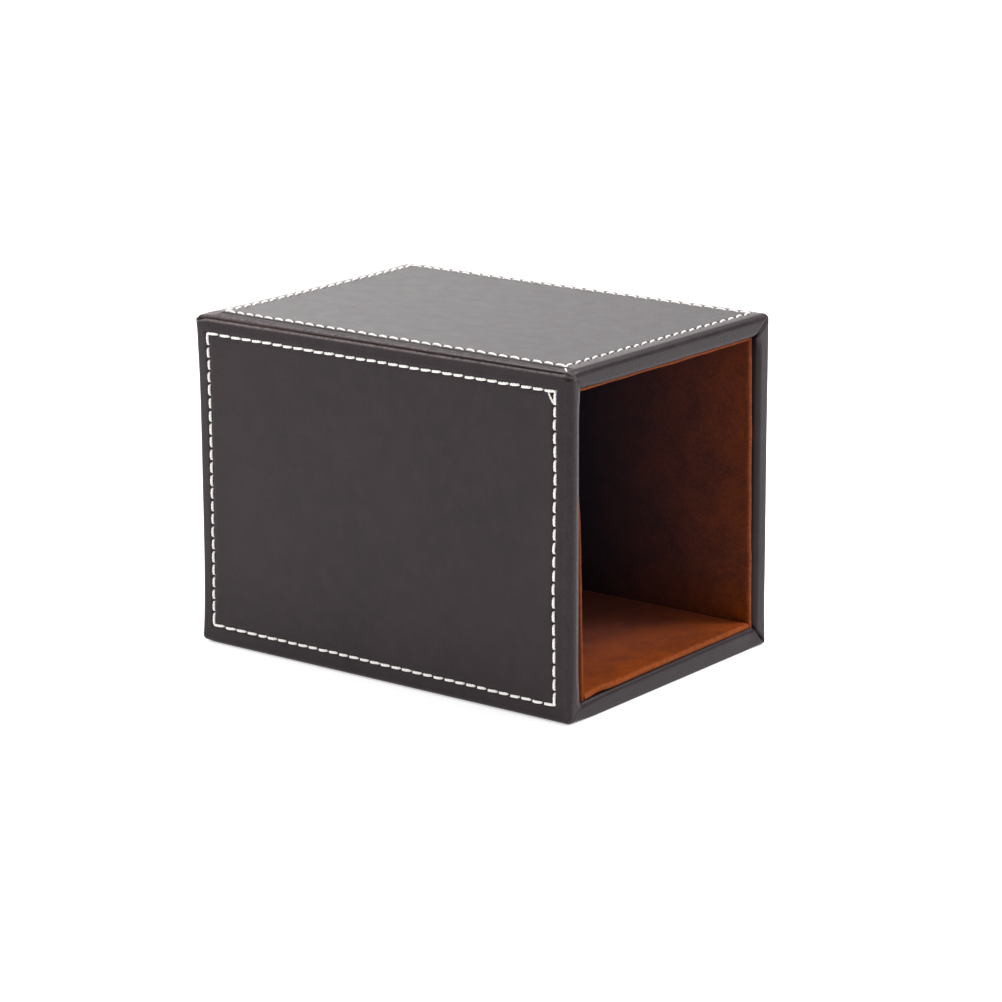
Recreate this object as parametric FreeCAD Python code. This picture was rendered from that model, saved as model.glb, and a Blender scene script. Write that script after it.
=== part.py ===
"""Square pen holder of leather-covered board, lined with suede, lying on one of its sides.

Frame, in millimetres: +X points out of the mouth, +Z is up, and the origin is the centre of the
footprint of the side that it lies on. The base end faces -X: stood on that end, it holds pens.

A wall's layers, from the outside in: the leather, the wall board, the leather turned in over the
mouth's rim, and a lining panel, which is a card with suede drawn over its face and mouth edge.
"""

import FreeCAD
import Part
import os

Vector = FreeCAD.Vector

# ---- driving dimensions --------------------------------------------------------------------

BODY_LENGTH = 102.0  # along X, from the leather on the base end to the mouth's rim
BODY_WIDTH = 75.0  # along Y, over the leather
BODY_HEIGHT = 76.0  # along Z, over the leather

LEATHER_THICKNESS = 0.8
WALL_BOARD_THICKNESS = 3.0
BASE_BOARD_THICKNESS = 3.0
BOARD_EDGE_RADIUS = 0.6  # the boards' edges are eased where the leather folds round them
TURN_IN_DEPTH = 14.0  # leather folded into the mouth, from the rim's plane
TURN_UNDER_WIDTH = 12.0  # leather folded on to the base end, from the body's sides
MITRE_GAP = 0.2  # slit between two flaps at a corner

SEAM_DROP = 0.9  # from the top face down to the gap between the leather's two ends
SEAM_GAP = 0.3
SEAM_LIP_RADIUS = 0.3  # rounding of both ends beside the gap

STITCH_INSET = 4.1  # from a face's edges to its rows of stitches
STITCH_PITCH = 2.93  # evened out, so that a whole number of stitches fills each row
STITCH_SPACING = 0.4  # leather between two stitches
THREAD_RADIUS = 0.33
STITCH_SINK = 0.05  # from the leather's face down to the thread's crest
CHANNEL_CLEARANCE = 0.12  # each side of the thread, in the channel that it lies in

LINING_CARD_THICKNESS = 0.7
LINING_SUEDE_THICKNESS = 0.4
LINING_RECESS = 1.0  # from the rim's plane to the lining's mouth edge
SUEDE_TURN_BACK = 10.0  # suede folded on to the back of a lining card
BASE_LINING_CLEARANCE = 0.3  # from the base lining to the wall boards

INFILL_CLEARANCE = 0.3  # from the infill card to the leather flaps that it is level with
UNDERSIDE_SUEDE_THICKNESS = 0.6
UNDERSIDE_SUEDE_INSET = 3.0  # from the body's sides

# ---- places along X ------------------------------------------------------------------------

MOUTH_X = (BODY_LENGTH + UNDERSIDE_SUEDE_THICKNESS) / 2
BASE_X = MOUTH_X - BODY_LENGTH
BODY_MIDDLE_X = (MOUTH_X + BASE_X) / 2
UNDERSIDE_X = BASE_X - UNDERSIDE_SUEDE_THICKNESS
BOARD_MOUTH_X = MOUTH_X - LEATHER_THICKNESS
BOARD_BASE_X = BASE_X + LEATHER_THICKNESS
BASE_CARD_X = BOARD_BASE_X + BASE_BOARD_THICKNESS
BASE_SUEDE_X = BASE_CARD_X + LINING_CARD_THICKNESS
WELL_BASE_X = BASE_SUEDE_X + LINING_SUEDE_THICKNESS
LINING_MOUTH_X = MOUTH_X - LINING_RECESS
CARD_MOUTH_X = LINING_MOUTH_X - LINING_SUEDE_THICKNESS
TURN_BACK_X = LINING_MOUTH_X - SUEDE_TURN_BACK
TURN_IN_X = MOUTH_X - TURN_IN_DEPTH

# ---- depths from the outside of a wall inwards -----------------------------------------------

BOARD_OUTSIDE = LEATHER_THICKNESS
BOARD_INSIDE = BOARD_OUTSIDE + WALL_BOARD_THICKNESS
TURN_IN_INSIDE = BOARD_INSIDE + LEATHER_THICKNESS
CARD_OUTSIDE = TURN_IN_INSIDE + LINING_SUEDE_THICKNESS
CARD_INSIDE = CARD_OUTSIDE + LINING_CARD_THICKNESS
LINING_INSIDE = CARD_INSIDE + LINING_SUEDE_THICKNESS

LEATHER_FOLD_RADIUS = BOARD_EDGE_RADIUS + LEATHER_THICKNESS
SUEDE_FOLD_RADIUS = LINING_SUEDE_THICKNESS
CHANNEL_DEPTH = THREAD_RADIUS + STITCH_SINK
CHANNEL_HALF_WIDTH = THREAD_RADIUS + CHANNEL_CLEARANCE
OVERSHOOT = 1.0  # how far a cutter runs past the face that it opens
TOUCH = 1e-4  # slack for picking an edge by its place

# ---- the four walls --------------------------------------------------------------------------

# Each wall is made as the bottom one and turned about the body's centre line. "reach" is from
# that line to the wall's outer face, and "half_span" is half of the face's extent across X.
AXIS_POINT = Vector(0, 0, BODY_HEIGHT / 2)
FLAT_WALL = {"reach": BODY_HEIGHT / 2, "half_span": BODY_WIDTH / 2}
UPRIGHT_WALL = {"reach": BODY_WIDTH / 2, "half_span": BODY_HEIGHT / 2}
WALLS = {
    "bottom": {"turn": 0, **FLAT_WALL},
    "top": {"turn": 180, **FLAT_WALL},
    "front": {"turn": -90, **UPRIGHT_WALL},
    "back": {"turn": 90, **UPRIGHT_WALL},
}
FULL_SPAN_WALLS = ("front", "back")  # their boards and linings run past the other two walls'


def wall_slab(wall, x_range, depth_range, side_inset):
    """A flat layer of the bottom wall, kept side_inset clear of the body's two sides."""
    half_width = wall["half_span"] - side_inset
    corner = Vector(x_range[0], -half_width, BODY_HEIGHT / 2 - wall["reach"] + depth_range[0])
    return Part.makeBox(
        x_range[1] - x_range[0], 2 * half_width, depth_range[1] - depth_range[0], corner
    )


def turned(shape, wall):
    """The shape moved from the bottom wall to its own wall."""
    return shape.rotated(AXIS_POINT, Vector(1, 0, 0), wall["turn"])


def joint_inset(name, layer_outside, layer_inside):
    """How far a wall's layer stays off the body's sides, so that it meets its neighbours."""
    return layer_outside if name in FULL_SPAN_WALLS else layer_inside


# ---- blocks and edges --------------------------------------------------------------------------


def block(x_range, inset):
    """A block inside the body's four sides, at the same distance from each of them."""
    corner = Vector(x_range[0], inset - BODY_WIDTH / 2, inset)
    return Part.makeBox(
        x_range[1] - x_range[0], BODY_WIDTH - 2 * inset, BODY_HEIGHT - 2 * inset, corner
    )


def eased_block(x_range, inset, radius):
    """A block with all of its edges rounded."""
    solid = block(x_range, inset)
    return solid.makeFillet(radius, solid.Edges)


def round_rim(solid, x, inset, radius):
    """Round the four edges of an opening that lie in one X plane."""
    half_width = BODY_WIDTH / 2 - inset
    half_height = BODY_HEIGHT / 2 - inset

    def on_opening(edge):
        box = edge.BoundBox
        middle = box.Center
        in_plane = abs(box.XMin - x) < TOUCH and abs(box.XMax - x) < TOUCH
        across = abs(middle.y) < TOUCH and abs(abs(middle.z - AXIS_POINT.z) - half_height) < TOUCH
        upright = abs(middle.z - AXIS_POINT.z) < TOUCH and abs(abs(middle.y) - half_width) < TOUCH
        return in_plane and (across or upright)

    return solid.makeFillet(radius, [edge for edge in solid.Edges if on_opening(edge)])


# ---- boards ------------------------------------------------------------------------------------


def board_box():
    """All five boards as one open box, with every edge eased where leather folds round it."""
    box = eased_block((BOARD_BASE_X, BOARD_MOUTH_X), BOARD_OUTSIDE, BOARD_EDGE_RADIUS)
    box = box.cut(block((BASE_CARD_X, BOARD_MOUTH_X + OVERSHOOT), BOARD_INSIDE))
    return round_rim(box, BOARD_MOUTH_X, BOARD_INSIDE, BOARD_EDGE_RADIUS)


def wall_board(box, name):
    """One wall's share of the board box."""
    inset = joint_inset(name, BOARD_OUTSIDE, BOARD_INSIDE)
    layer = wall_slab(
        WALLS[name], (BOARD_BASE_X, BOARD_MOUTH_X), (BOARD_OUTSIDE, BOARD_INSIDE), inset
    )
    return box.common(turned(layer, WALLS[name]))


def base_board():
    """The board that closes the base end, between the four walls."""
    return block((BOARD_BASE_X, BASE_CARD_X), BOARD_INSIDE)


# ---- leather -----------------------------------------------------------------------------------


def leather_jacket(box):
    """One skin round all four walls, turned in at the mouth and under at the base end."""
    skin = eased_block((BASE_X, MOUTH_X), 0, LEATHER_FOLD_RADIUS)
    skin = skin.cut(block((BOARD_BASE_X, MOUTH_X + OVERSHOOT), TURN_IN_INSIDE))
    skin = round_rim(skin, MOUTH_X, TURN_IN_INSIDE, LEATHER_FOLD_RADIUS)
    cutters = [box, block((BOARD_BASE_X, TURN_IN_X), BOARD_INSIDE)]
    cutters.append(block((BASE_X - OVERSHOOT, BOARD_BASE_X + OVERSHOOT), TURN_UNDER_WIDTH))
    cutters.append(seam_cutter())
    cutters += mitre_cutters((TURN_IN_X - OVERSHOOT, MOUTH_X + OVERSHOOT), TURN_IN_INSIDE)
    cutters += mitre_cutters((BASE_X - OVERSHOOT, BOARD_BASE_X), TURN_UNDER_WIDTH)
    cutters += [turned(stitch_channel(wall), wall) for wall in WALLS.values()]
    return skin.cut(cutters)


def seam_cutter():
    """The gap between the leather's two ends, with both ends rounded beside it.

    It runs the whole length of the front face, just under the top edge.
    """
    face_y = -BODY_WIDTH / 2
    middle_z = BODY_HEIGHT - SEAM_DROP
    half_gap = SEAM_GAP / 2
    half_mouth = half_gap + SEAM_LIP_RADIUS
    arc_offset = SEAM_LIP_RADIUS * (1 - 0.5**0.5)

    def at(depth, rise):
        return Vector(BASE_X - OVERSHOOT, face_y + depth, middle_z + rise)

    outline = [
        Part.makePolygon([at(SEAM_LIP_RADIUS, half_gap), at(LEATHER_THICKNESS, half_gap)]),
        Part.makePolygon([at(LEATHER_THICKNESS, half_gap), at(LEATHER_THICKNESS, -half_gap)]),
        Part.makePolygon([at(LEATHER_THICKNESS, -half_gap), at(SEAM_LIP_RADIUS, -half_gap)]),
        Part.Arc(
            at(SEAM_LIP_RADIUS, -half_gap),
            at(arc_offset, -half_gap - arc_offset),
            at(0, -half_mouth),
        ).toShape(),
        Part.makePolygon([at(0, -half_mouth), at(-OVERSHOOT, -half_mouth)]),
        Part.makePolygon([at(-OVERSHOOT, -half_mouth), at(-OVERSHOOT, half_mouth)]),
        Part.makePolygon([at(-OVERSHOOT, half_mouth), at(0, half_mouth)]),
        Part.Arc(
            at(0, half_mouth), at(arc_offset, half_gap + arc_offset), at(SEAM_LIP_RADIUS, half_gap)
        ).toShape(),
    ]
    edges = [edge for piece in outline for edge in piece.Edges]
    face = Part.Face(Part.Wire(edges))
    return face.extrude(Vector(BODY_LENGTH + 2 * OVERSHOOT, 0, 0))


def mitre_cutters(x_range, flap_inset):
    """Four diagonal slits that part the flaps at the corners, up to the boards' outer corners."""
    run = (flap_inset + OVERSHOOT - BOARD_OUTSIDE) * 2**0.5
    cutters = []
    for y_side in (-1, 1):
        for z_side in (-1, 1):
            slit = Part.makeBox(
                x_range[1] - x_range[0], run, MITRE_GAP, Vector(x_range[0], 0, -MITRE_GAP / 2)
            )
            heading = {(1, 1): 225, (-1, 1): -45, (-1, -1): 45, (1, -1): 135}[(y_side, z_side)]
            slit.rotate(Vector(), Vector(1, 0, 0), heading)
            slit.translate(
                Vector(
                    0,
                    y_side * (BODY_WIDTH / 2 - BOARD_OUTSIDE),
                    AXIS_POINT.z + z_side * (BODY_HEIGHT / 2 - BOARD_OUTSIDE),
                )
            )
            cutters.append(slit)
    return cutters


# ---- stitching ---------------------------------------------------------------------------------


def stitch_rows(wall):
    """The four rows of a wall's stitches: each one's middle, heading and half length."""
    half_long = BODY_LENGTH / 2 - STITCH_INSET
    half_across = wall["half_span"] - STITCH_INSET
    return [
        (Vector(0, -half_across, 0), Vector(1, 0, 0), half_long),
        (Vector(half_long, 0, 0), Vector(0, 1, 0), half_across),
        (Vector(0, half_across, 0), Vector(-1, 0, 0), half_long),
        (Vector(-half_long, 0, 0), Vector(0, -1, 0), half_across),
    ]


def stitch_channel(wall):
    """The closed rectangular channel that a wall's stitches lie in."""
    half_long = BODY_LENGTH / 2 - STITCH_INSET

    def plate(margin):
        depth_range = (-OVERSHOOT, CHANNEL_DEPTH)
        x_range = (BODY_MIDDLE_X - half_long - margin, BODY_MIDDLE_X + half_long + margin)
        return wall_slab(wall, x_range, depth_range, STITCH_INSET - margin)

    return plate(CHANNEL_HALF_WIDTH).cut(plate(-CHANNEL_HALF_WIDTH))


def single_stitch(length):
    """Half of a round-ended thread, flat side up, lying along X with its crest downwards."""
    straight = length - 2 * THREAD_RADIUS
    thread = Part.makeCylinder(
        THREAD_RADIUS, straight, Vector(-straight / 2, 0, 0), Vector(1, 0, 0)
    )
    for end in (-1, 1):
        thread = thread.fuse(Part.makeSphere(THREAD_RADIUS, Vector(end * straight / 2, 0, 0)))
    lower_half = Part.makeBox(
        length, 2 * THREAD_RADIUS, THREAD_RADIUS, Vector(-length / 2, -THREAD_RADIUS, -THREAD_RADIUS)
    )
    return thread.common(lower_half).removeSplitter()


def face_stitching(wall):
    """All the stitches of one face, each a solid of its own, seated on the channel's floor."""
    seat = Vector(BODY_MIDDLE_X, 0, BODY_HEIGHT / 2 - wall["reach"] + CHANNEL_DEPTH)
    stitches = []
    for middle, heading, half_length in stitch_rows(wall):
        count = round(2 * half_length / STITCH_PITCH)
        step = 2 * half_length / count
        stitch = single_stitch(step - STITCH_SPACING)
        if heading.y:
            stitch.rotate(Vector(), Vector(0, 0, 1), 90)
        for index in range(count):
            along = -half_length + (index + 0.5) * step
            stitches.append(stitch.translated(seat + middle + heading * along))
    return turned(Part.makeCompound(stitches), wall)


# ---- lining ------------------------------------------------------------------------------------


def wall_lining_card(name):
    """The stiff card of one wall's lining panel."""
    inset = joint_inset(name, TURN_IN_INSIDE, LINING_INSIDE)
    card = wall_slab(
        WALLS[name], (WELL_BASE_X, CARD_MOUTH_X), (CARD_OUTSIDE, CARD_INSIDE), inset
    )
    return turned(card, WALLS[name])


def wall_lining_suede(name):
    """The suede over a lining card: its face, its mouth edge and the first part of its back."""
    wall = WALLS[name]
    inset = joint_inset(name, TURN_IN_INSIDE, LINING_INSIDE)
    over_face = wall_slab(wall, (WELL_BASE_X, LINING_MOUTH_X), (CARD_INSIDE, LINING_INSIDE), inset)
    over_edge = wall_slab(
        wall, (CARD_MOUTH_X, LINING_MOUTH_X), (TURN_IN_INSIDE, CARD_INSIDE), inset
    )
    over_back = wall_slab(wall, (TURN_BACK_X, CARD_MOUTH_X), (TURN_IN_INSIDE, CARD_OUTSIDE), inset)
    suede = over_face.fuse([over_edge, over_back]).removeSplitter()
    folds = [
        edge
        for edge in suede.Edges
        if edge.BoundBox.XMin > LINING_MOUTH_X - TOUCH
        and edge.BoundBox.YLength > wall["half_span"]
    ]
    return turned(suede.makeFillet(SUEDE_FOLD_RADIUS, folds), wall)


def base_lining_layer(x_range):
    """A layer of the lining that lies on the base board."""
    return block(x_range, BOARD_INSIDE + BASE_LINING_CLEARANCE)


# ---- assembly ----------------------------------------------------------------------------------


def build_nodes():
    """Every piece of the holder, by its name."""
    box = board_box()
    nodes = {
        "leather_jacket": leather_jacket(box),
        "base_board": base_board(),
        "base_lining_card": base_lining_layer((BASE_CARD_X, BASE_SUEDE_X)),
        "base_lining_suede": base_lining_layer((BASE_SUEDE_X, WELL_BASE_X)),
        "underside_infill_card": block((BASE_X, BOARD_BASE_X), TURN_UNDER_WIDTH + INFILL_CLEARANCE),
        "underside_suede": block((UNDERSIDE_X, BASE_X), UNDERSIDE_SUEDE_INSET),
    }
    for name, wall in WALLS.items():
        nodes[name + "_wall_board"] = wall_board(box, name)
        nodes[name + "_lining_card"] = wall_lining_card(name)
        nodes[name + "_lining_suede"] = wall_lining_suede(name)
        nodes[name + "_face_stitching"] = face_stitching(wall)
    return nodes


def main():
    os.makedirs("parts", exist_ok=True)
    for name, shape in build_nodes().items():
        shape.exportStep("parts/" + name + ".step")


main()
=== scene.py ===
"""Looks of the square pen holder: its leather, thread, suede, boards, floor, light and camera.

Lengths are in millimetres here and become metres when a mesh is made. A point's depth is how far
it lies inside the body's four sides, and "across" is its place along a side, round the section.
"""

import random
from math import copysign, cos, exp, hypot, pi, radians, sin, sqrt, tau

import bmesh
import bpy
import numpy as np
from mathutils import Matrix, Vector, noise


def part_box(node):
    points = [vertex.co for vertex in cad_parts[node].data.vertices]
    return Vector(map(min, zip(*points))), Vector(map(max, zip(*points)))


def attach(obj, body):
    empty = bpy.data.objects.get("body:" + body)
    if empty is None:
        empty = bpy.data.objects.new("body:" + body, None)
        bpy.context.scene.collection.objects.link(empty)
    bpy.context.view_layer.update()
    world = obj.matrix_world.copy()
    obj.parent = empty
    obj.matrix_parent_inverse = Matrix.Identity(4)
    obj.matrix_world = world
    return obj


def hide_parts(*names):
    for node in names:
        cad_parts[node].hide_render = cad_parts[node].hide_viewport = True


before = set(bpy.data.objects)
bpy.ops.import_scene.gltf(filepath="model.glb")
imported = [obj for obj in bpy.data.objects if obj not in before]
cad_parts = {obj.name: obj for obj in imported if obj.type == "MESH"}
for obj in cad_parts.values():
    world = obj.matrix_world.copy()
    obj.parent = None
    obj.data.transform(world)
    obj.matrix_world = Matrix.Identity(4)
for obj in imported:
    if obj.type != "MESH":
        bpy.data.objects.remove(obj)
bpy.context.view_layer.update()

MM = 0.001
SEED = 4076


# ---- sizes that come from the frame ----


def box_mm(node):
    low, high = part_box(node)
    return np.array(low) / MM, np.array(high) / MM


JACKET_LOW, JACKET_HIGH = box_mm("leather_jacket")
BASE_X, MOUTH_X = JACKET_LOW[0], JACKET_HIGH[0]
HALF_WIDTH = (JACKET_HIGH[1] - JACKET_LOW[1]) / 2
HEIGHT = JACKET_HIGH[2]
LINING_LOW, LINING_HIGH = box_mm("top_lining_suede")
WELL_BASE_X, LINING_MOUTH_X = LINING_LOW[0], LINING_HIGH[0]
RIM_DEPTH = HEIGHT - LINING_HIGH[2]
LINING_DEPTH = HEIGHT - LINING_LOW[2]

# ---- sizes of the dressed pieces ----

LEATHER = 0.8
TURN_UNDER = 12.0
TURN_IN = 14.0
CORNER_RADIUS = 1.3  # the near top edge, where the seam is shut
# The body's other long edges, each at the end of its side's heading.
CORNER_RADII = {"top": 1.3, "back": 0.7, "bottom": 1.3}
MITRE_RADIUS = 0.2
SOFT_CORNER = (0.6, 0.35)  # the near bottom corner widens over the rim and then sharpens slowly
EDGE_DROOP = 0.12  # how far a face falls away outside its stitches

# Radii of the leather's folds at the base end, at the mouth and at the rim's inner edge.
FOLD_RADII = {
    "top": (2.0, 1.6, 1.0),
    "back": (1.3, 1.4, 1.3),
    "bottom": (1.0, 0.4, 1.0),
    "front": (1.1, 2.1, 2.2),
}

ROW_INSET = 4.1
PITCH = 2.93
ROW_BAND = (0.0, 0.3, 0.55, 0.9, 1.4)
FINE_BAND = 0.95
STITCH_CUTS = 7
# A row's departure from ROW_INSET grows between the first two insets from an edge, and dies out
# between the last two.
SHIFT_REACH = (1.5, 2.7, 5.5, 16.0)

# The leather along a row: the trough, the further dip at a hole, the hole itself and the swell
# beside the row, each as (how deep or high, half-width); and how far from the row the swell is.
TROUGH = (0.16, 0.42)
HOLE_DIP = (0.1, 0.5)
HOLE = (0.3, 0.28)
SWELL = (0.05, 0.45)
SWELL_PLACE = 1.15
TOP_PULL = 0.5  # the top is pulled down this share as far as the other sides

# The seam along the near top edge: how far the front's hem lies below the top, at the base end
# and at the mouth; how far the top's edge is set back behind it; and how both folds are rounded.
SEAM_DROP_BASE = 1.0
SEAM_DROP_MOUTH = 0.54
HEM_SETBACK = 0.5
HEM_ROUND = (0.56, 0.74)
TOP_EDGE_ROUND = (0.62, 0.8, 0.4)  # inwards, and down as a share of the drop at both ends
SEAM_END = 2.0  # the seam closes this far before the mouth
EDGE_CREASE = (2.85, 0.22, 0.26)  # a crease along the top beside the seam: inset, half-width, depth
CREASED = 3.7  # the leather beside the seam is creased and matt up to here
# Where the folded edges of the top and of the hem start, as (inwards, below the hem), and how far
# inside the leather these places are.
TOP_ROOTS = ((0.95, 0.0), (0.8, 0.0), (0.62, -0.06))
HEM_ROOTS = ((0.95, 0.02), (0.8, 0.02), (0.66, 0.01))
ROOT_DEPTHS = (LEATHER, 0.62, 0.03)

# Departures of the covered body from a true box. The top falls in its margins by the base, the
# back and the front, and again at its near corner by the base; the body's near lower corner is
# lifted; and the back's foot by the mouth stands out along X and in along Y.
BASE_FALL, BACK_FALL, FRONT_FALL, CORNER_FALL = 0.43, 0.24, 0.28, 0.4
BASE_MARGIN, BACK_MARGIN, FRONT_MARGIN = (0.5, 4.4), (0.5, 4.0), (0.5, 3.8)
CORNER_LIFT = 0.25
FOOT_OUT, FOOT_IN = 0.4, 0.35
# The base end's flare: all over, at its upper corners, at its lower ones and at their very tips.
FLARES = (0.1, 1.1, 0.75, 0.35)

THREAD = 0.32
PROUD = 0.34
PLIES = 3
PLY_SIDES = 7
THREAD_RINGS = 13
TWIST_PITCH = 2.3
STITCH_ROOT = 0.5  # how far a stitch's ends dip into their holes
STITCH_GAP = (0.14, 0.26)
CORNER_REACH = 0.18  # a row's first and last stitch run past its corner
TOP_MOUTH_GAP, TOP_MOUTH_THREAD = 0.1, 0.27  # the top's mouth row: wider gaps, thinner thread
# Each ply's distance from the thread's middle, and its radius, as shares of the thread's.
PLY_OFFSET, PLY_GIRTH = 0.47, 0.55

# How far each end of a stitch stands off its row, to opposite sides: a side's four rows, from the
# row at the start of its heading round by the mouth.
SLANTS = {
    "top": (0.17, -0.2, 0.15, -0.22),
    "back": (0.1, -0.1, 0.1, -0.1),
    "bottom": (0.1, -0.1, 0.1, -0.1),
    "front": (-0.08, 0.03, -0.08, 0.0),
}

SUEDE = 0.4
TURN_BACK = 10.0

# Normal and heading in the YZ plane, reach from the centre line, and half of the side's span.
SIDES = {
    "top": ((0, 1), (1, 0), HEIGHT / 2, HALF_WIDTH),
    "back": ((1, 0), (0, -1), HALF_WIDTH, HEIGHT / 2),
    "bottom": ((0, -1), (-1, 0), HEIGHT / 2, HALF_WIDTH),
    "front": ((-1, 0), (0, 1), HALF_WIDTH, HEIGHT / 2),
}
SIDE_NAMES = list(SIDES)

# Where each side's rows of stitches cross: (inset from the end, inset from the side edge), for the
# corners (base, start of heading), (base, end), (mouth, start), (mouth, end).
ROW_CORNERS = {
    "top": ((5.1, 4.35), (4.8, 4.5), (4.15, 3.98), (3.25, 3.3)),
    "back": ((4.0, 4.3), (4.2, 3.9), (3.8, 4.1), (4.0, 4.4)),
    "bottom": ((4.2, 3.9), (3.9, 4.2), (4.1, 4.0), (3.8, 4.3)),
    "front": ((3.43, 4.58), (3.52, 4.5), (3.97, 3.97), (3.97, 4.64)),
}

# The mouth's row on the front wanders: at each share of the way up, by so much.
FRONT_SWAY = ((0.72, 0.16), (0.37, -0.26))
SWAY_SPREAD = 0.1

# How far the rim's inner edge and the linings are out of true at the opening's corners, (dy, dz) by
# (y side, z side).
RIM_SETTLE = {
    (-1, -1): (0.1, -0.5),
    (-1, 1): (-0.1, 0.0),
    (1, -1): (-0.1, 0.15),
    (1, 1): (-0.15, 0.0),
}
LINING_SETTLE = {
    (-1, -1): (0.0, -0.45),
    (-1, 1): (0.0, 0.1),
    (1, -1): (0.0, 0.0),
    (1, 1): (0.0, 0.1),
}
SETTLE_LENGTH = 26.0  # how far in from the mouth the body is out of true
OPENING_HALF = 33.0  # half of the span over which the corners' shifts are spread

# The mitred flaps at the base end and at the rim's corners: how deep and wide the cut is, how far
# one flap lies on the other, and how much deeper the cut gapes at GAPE_DEPTH.
BASE_MITRE = (0.5, 0.24, 0.16, 0.0)
RIM_MITRES = {
    (-1, -1): (0.05, 0.24, 0.0, 0.0),
    (-1, 1): (0.0, 0.24, 0.0, 0.0),
    (1, -1): (0.6, 0.3, 0.16, 0.5),
    (1, 1): (0.75, 0.34, 0.0, 0.5),
}
GAPE_DEPTH, GAPE_SPREAD = 2.1, 0.6
LAP_LENGTH, LAP_SHOULDER = 2.2, 0.3  # over which a lap fades out, away from the cut and at it
FAR_FLAP_SLANT = 0.33  # how far off the mitre the far top flaps meet, as a share of the depth

# How far a lining's mouth edge stands out, at its heading's start, middle and end; how far its back
# stands off the leather there; and how much thinner it is pressed there. The linings lean: their
# tops are set back and their feet stand out.
LINING_REACH = {
    "top": (-1.0, -0.8, -0.6),
    "back": (-0.6, -0.05, 0.5),
    "bottom": (0.5, 0.45, 0.65),
    "front": (0.5, -0.35, -2.0),
}
LINING_GAP = {"top": 0.0, "back": 0.15, "bottom": 0.0, "front": 0.6}
LINING_PRESS = {"top": 0.35, "back": 0.0, "bottom": -0.1, "front": 0.0}
FLOOR_CREASE = (-25.5, 2.6, 0.45)  # where the floor's edge lifts: y, half-width and height
LINING_STEP = 2.4  # the spacing of a lining's mesh lines
CARD_EDGE_X = 48.0  # where a lining's evenly spaced lines end, short of its folded edge


def clip(value):
    return min(max(value, 0.0), 1.0)


def step(value, start, end):
    """0 before start, 1 after end, and smooth between."""
    t = clip((value - start) / (end - start))
    return t * t * (3 - 2 * t)


def fade(value, start, end):
    """1 before start, 0 after end, and smooth between."""
    return 1 - step(value, start, end)


def bell(value, width):
    return exp(-((value / width) ** 2))


def mix(a, b, t):
    return a + (b - a) * t


def along_body(x):
    """0 at the base end and 1 at the mouth."""
    return (x - BASE_X) / (MOUTH_X - BASE_X)


def ripple(point, size, seed=0.0):
    """Smooth noise from about -1 to 1, with features of the given size."""
    return noise.noise(Vector((point[0] / size + seed, point[1] / size, point[2] / size)))


def on_side(side, x, across, depth):
    normal, heading, reach, _ = SIDES[side]
    y, z = (n * (reach - depth) + h * across for n, h in zip(normal, heading))
    return np.array((x, y, z + HEIGHT / 2))


def side_normal(side):
    return np.array((0.0, *SIDES[side][0]))


def side_heading(side):
    return np.array((0.0, *SIDES[side][1]))


def by_corner(back, inwards, down):
    """A point by its distances from the near top corner of the mouth."""
    return np.array((MOUTH_X - back, -HALF_WIDTH + inwards, HEIGHT - down))


def apart(a, b):
    return float(np.linalg.norm(a - b))


# ---- meshes ----


def even(low, high, spacing):
    count = max(round((high - low) / spacing), 1)
    return [mix(low, high, i / count) for i in range(count + 1)]


def new_object(name, data):
    obj = bpy.data.objects.new(name, data)
    bpy.context.scene.collection.objects.link(obj)
    return obj


def finish_mesh(name, bm, sharp=55.0):
    """Turn a bmesh in millimetres into an object that rides on the body."""
    bmesh.ops.recalc_face_normals(bm, faces=bm.faces)
    bmesh.ops.scale(bm, vec=(MM, MM, MM), verts=bm.verts)
    mesh = bpy.data.meshes.new(name)
    bm.to_mesh(mesh)
    bm.free()
    mesh.polygons.foreach_set("use_smooth", [True] * len(mesh.polygons))
    mesh.set_sharp_from_angle(angle=radians(sharp))
    obj = new_object(name, mesh)
    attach(obj, "root")
    return obj


def fill_grid(bm, rows):
    """Faces between neighbouring rows of vertices."""
    for here, there in zip(rows, rows[1:]):
        for a, b, c, d in zip(here, here[1:], there[1:], there):
            bm.faces.new((a, b, c, d))


def lattice(bm, places, others, point):
    """Rows of vertices at point(a, b) for every pair of places, with faces between them."""
    rows = [[bm.verts.new(point(a, b)) for b in others] for a in places]
    fill_grid(bm, rows)
    return rows


def fill_tube(bm, loops):
    """Faces between neighbouring loops of vertices, and over both ends."""
    for here, there in zip(loops, loops[1:]):
        for j in range(len(here)):
            k = (j + 1) % len(here)
            bm.faces.new((here[j], here[k], there[k], there[j]))
    bm.faces.new(loops[0])
    bm.faces.new(loops[-1])


def dress(obj, material, node):
    obj.data.materials.append(material)
    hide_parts(node)
    return obj


# ---- rows of stitches ----


def hole_places(half):
    """Even places from one row to the opposite one."""
    return even(ROW_INSET - half, half - ROW_INSET, PITCH)


def row_lines(half):
    """Where the mesh has lines along the rows of stitches and through their holes."""
    rows = (ROW_INSET - half, half - ROW_INSET)
    beside = [row + way * off for row in rows for off in ROW_BAND for way in (-1, 1)]
    return beside + [place for place in hole_places(half) if abs(place) < rows[1] - 1.5]


BODY_MIDDLE = (BASE_X + MOUTH_X) / 2
HALF_LENGTH = (MOUTH_X - BASE_X) / 2
LONG_HOLES = [BODY_MIDDLE + place for place in hole_places(HALF_LENGTH)]


def row_shift(inset):
    """How much of a row's shift reaches a point at this inset from the edge."""
    return step(inset, *SHIFT_REACH[:2]) * fade(inset, *SHIFT_REACH[2:])


def sway(side, around):
    """How far the mouth's row on the front departs at a share of the way up."""
    if side != "front":
        return 0.0
    return sum(far * bell(around - place, SWAY_SPREAD) for place, far in FRONT_SWAY)


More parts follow.
